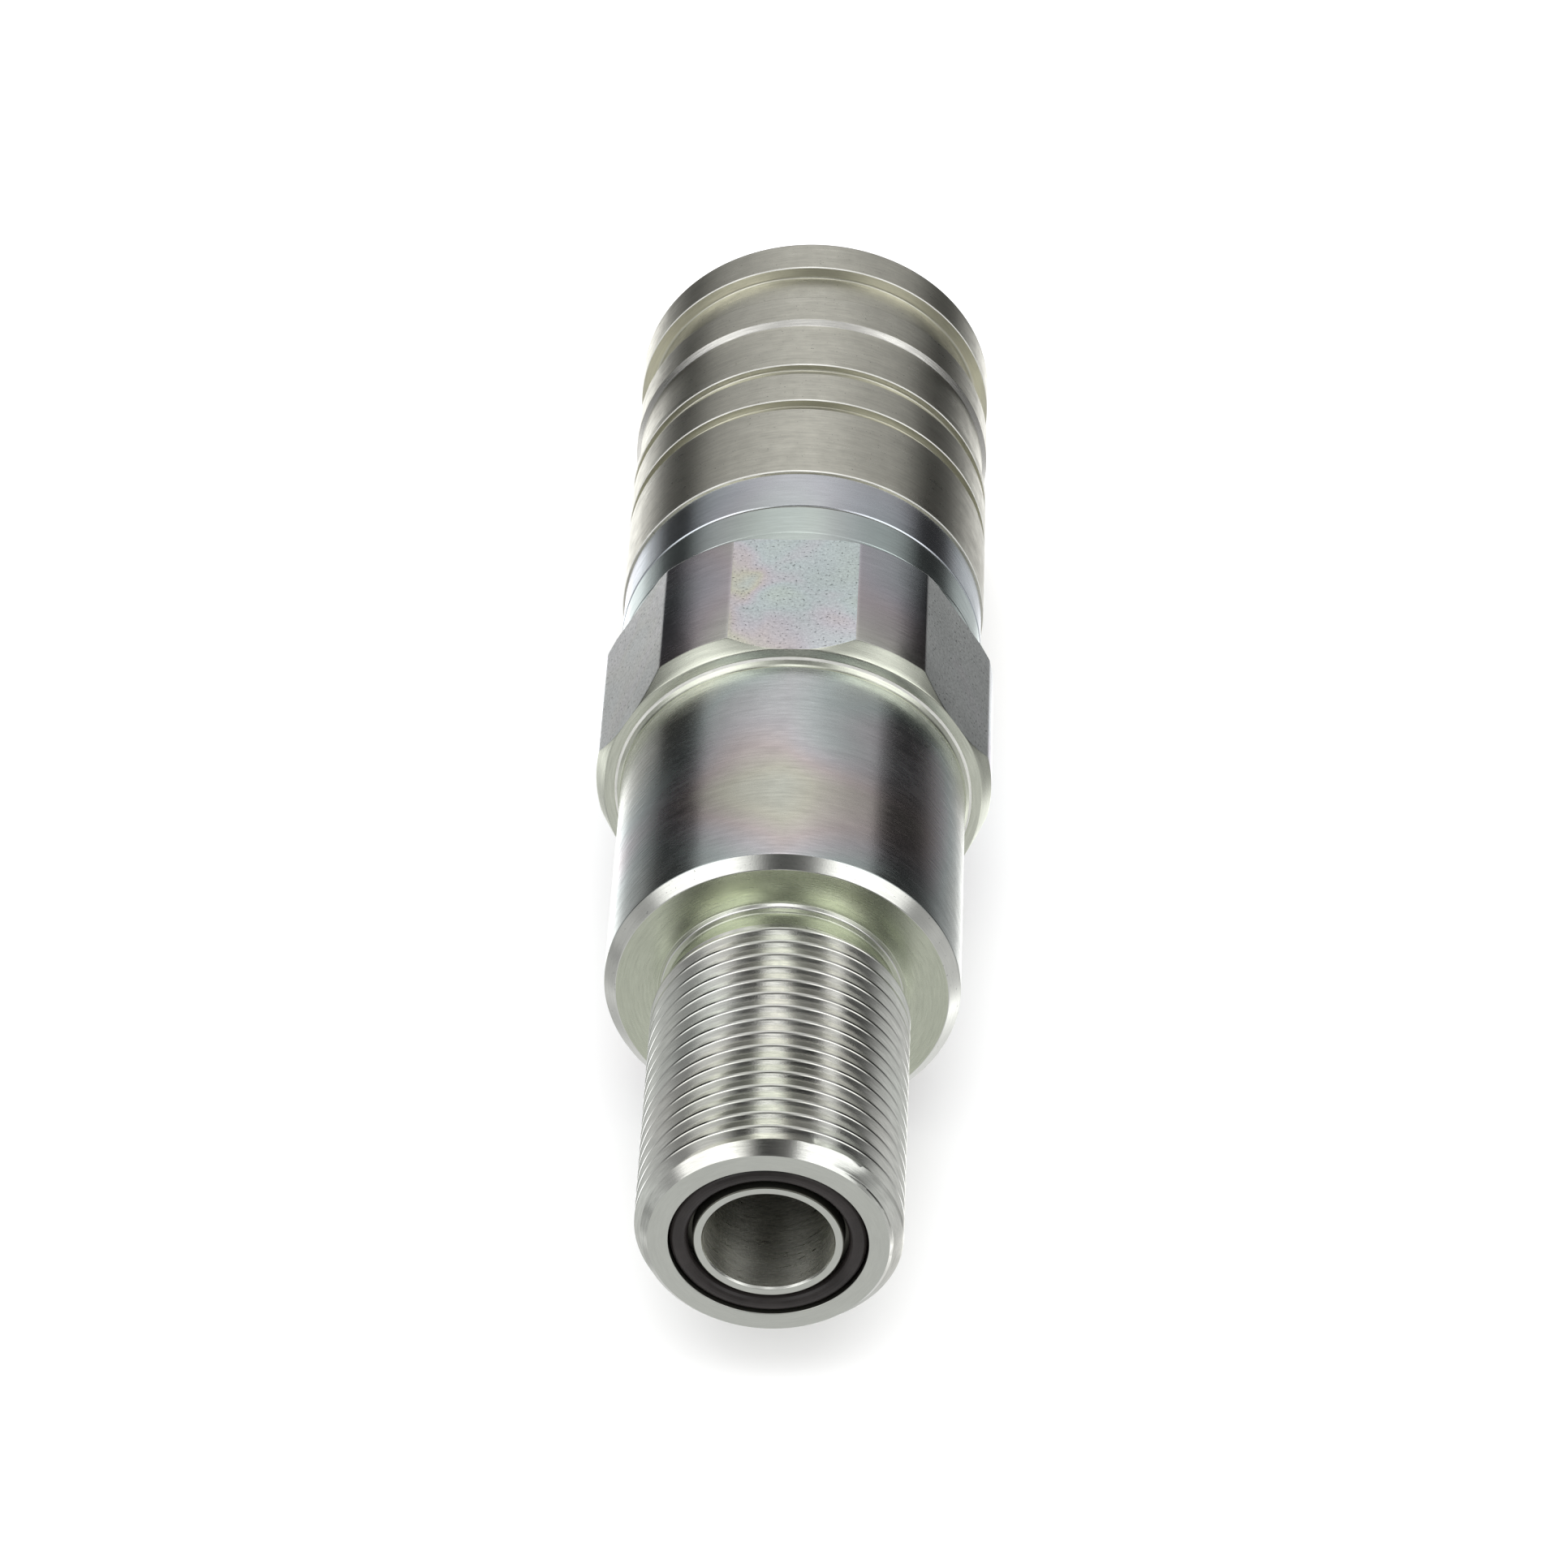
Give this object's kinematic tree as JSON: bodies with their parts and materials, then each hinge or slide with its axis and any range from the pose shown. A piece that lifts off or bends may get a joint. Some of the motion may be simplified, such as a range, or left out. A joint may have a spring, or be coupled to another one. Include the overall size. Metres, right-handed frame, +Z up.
{
  "type": "quick disconnect coupler",
  "caption": "Female ball-lock hydraulic quick coupler with a sliding sleeve, a wrench hexagon and a long male face-seal port for bulkhead mounting.",
  "frame": {"origin": "on the coupler's axis, half way between the port's front face and the mouth", "axes": "+Y along the axis towards the mouth that takes the nipple, -Y towards the threaded port, +Z up through the middle of one hexagon flat"},
  "size_m": [0.0402, 0.1342, 0.0382],
  "materials": {
    "zinc_plate": "clear zinc plate over turned steel, faintly iridescent",
    "sleeve_plate": "warm grey plated steel with fine turning marks",
    "collar_plate": "blue-grey zinc plate over turned steel",
    "valve_steel": "turned steel, satin",
    "spring_steel": "oiled spring steel",
    "ball_steel": "polished bearing steel",
    "black_rubber": "nitrile rubber, lightly oiled",
    "backup_plastic": "natural low-friction plastic"
  },
  "bodies": {
    "port_assembly": {"port_body": "zinc_plate", "face_seal": "black_rubber", "stop_collar": "collar_plate", "coupler_body": "valve_steel", "joint_seal": "black_rubber", "joint_backup_ring": "backup_plastic", "nipple_seal": "black_rubber", "nipple_backup_ring": "backup_plastic", "sleeve_spring": "spring_steel", "body_spring_washer": "spring_steel", "body_retaining_ring": "spring_steel", "valve_guide": "valve_steel", "guide_retaining_ring": "spring_steel", "poppet_spring": "spring_steel"},
    "sleeve_carriage": {"sleeve_retaining_ring": "spring_steel", "sleeve_spring_washer": "spring_steel"},
    "sleeve": {"locking_sleeve": "sleeve_plate"},
    "poppet_valve": {"poppet": "valve_steel", "poppet_seal": "black_rubber"},
    "ball_1": {"lock_ball_1": "ball_steel"},
    "ball_2": {"lock_ball_2": "ball_steel"},
    "ball_3": {"lock_ball_3": "ball_steel"},
    "ball_4": {"lock_ball_4": "ball_steel"},
    "ball_5": {"lock_ball_5": "ball_steel"},
    "ball_6": {"lock_ball_6": "ball_steel"},
    "ball_7": {"lock_ball_7": "ball_steel"},
    "ball_8": {"lock_ball_8": "ball_steel"}
  },
  "joints": [
    {"name": "sleeve_slide", "type": "slide", "parent": "port_assembly", "child": "sleeve_carriage", "axis": [0, 1, 0], "range_m": [0, 0.0065], "stiffness_N_per_m": 3000, "springref_m": -0.006, "deforming": ["sleeve_spring"]},
    {"name": "sleeve_turn", "type": "hinge", "parent": "sleeve_carriage", "child": "sleeve", "pos_m": [0, 0.0466, 0], "axis": [0, 1, 0], "continuous": true},
    {"name": "poppet_slide", "type": "slide", "parent": "port_assembly", "child": "poppet_valve", "axis": [0, 1, 0], "range_m": [-0.005, 0], "stiffness_N_per_m": 2000, "springref_m": 0.004, "deforming": ["poppet_spring"]},
    {"name": "ball_1_lift", "type": "slide", "parent": "port_assembly", "child": "ball_1", "axis": [0, 0, 1], "range_m": [0, 0.0012]},
    {"name": "ball_2_lift", "type": "slide", "parent": "port_assembly", "child": "ball_2", "axis": [0.7071, 0, 0.7071], "range_m": [0, 0.0012]},
    {"name": "ball_3_lift", "type": "slide", "parent": "port_assembly", "child": "ball_3", "axis": [1, 0, 0], "range_m": [0, 0.0012]},
    {"name": "ball_4_lift", "type": "slide", "parent": "port_assembly", "child": "ball_4", "axis": [0.7071, 0, -0.7071], "range_m": [0, 0.0012]},
    {"name": "ball_5_lift", "type": "slide", "parent": "port_assembly", "child": "ball_5", "axis": [0, 0, -1], "range_m": [0, 0.0012]},
    {"name": "ball_6_lift", "type": "slide", "parent": "port_assembly", "child": "ball_6", "axis": [-0.7071, 0, -0.7071], "range_m": [0, 0.0012]},
    {"name": "ball_7_lift", "type": "slide", "parent": "port_assembly", "child": "ball_7", "axis": [-1, 0, 0], "range_m": [0, 0.0012]},
    {"name": "ball_8_lift", "type": "slide", "parent": "port_assembly", "child": "ball_8", "axis": [-0.7071, 0, 0.7071], "range_m": [0, 0.0012]}
  ],
  "couplings": [
    {"joint": "ball_1_lift", "follows": "sleeve_slide", "ratio": 0.184},
    {"joint": "ball_2_lift", "follows": "sleeve_slide", "ratio": 0.184},
    {"joint": "ball_3_lift", "follows": "sleeve_slide", "ratio": 0.184},
    {"joint": "ball_4_lift", "follows": "sleeve_slide", "ratio": 0.184},
    {"joint": "ball_5_lift", "follows": "sleeve_slide", "ratio": 0.184},
    {"joint": "ball_6_lift", "follows": "sleeve_slide", "ratio": 0.184},
    {"joint": "ball_7_lift", "follows": "sleeve_slide", "ratio": 0.184},
    {"joint": "ball_8_lift", "follows": "sleeve_slide", "ratio": 0.184}
  ]
}
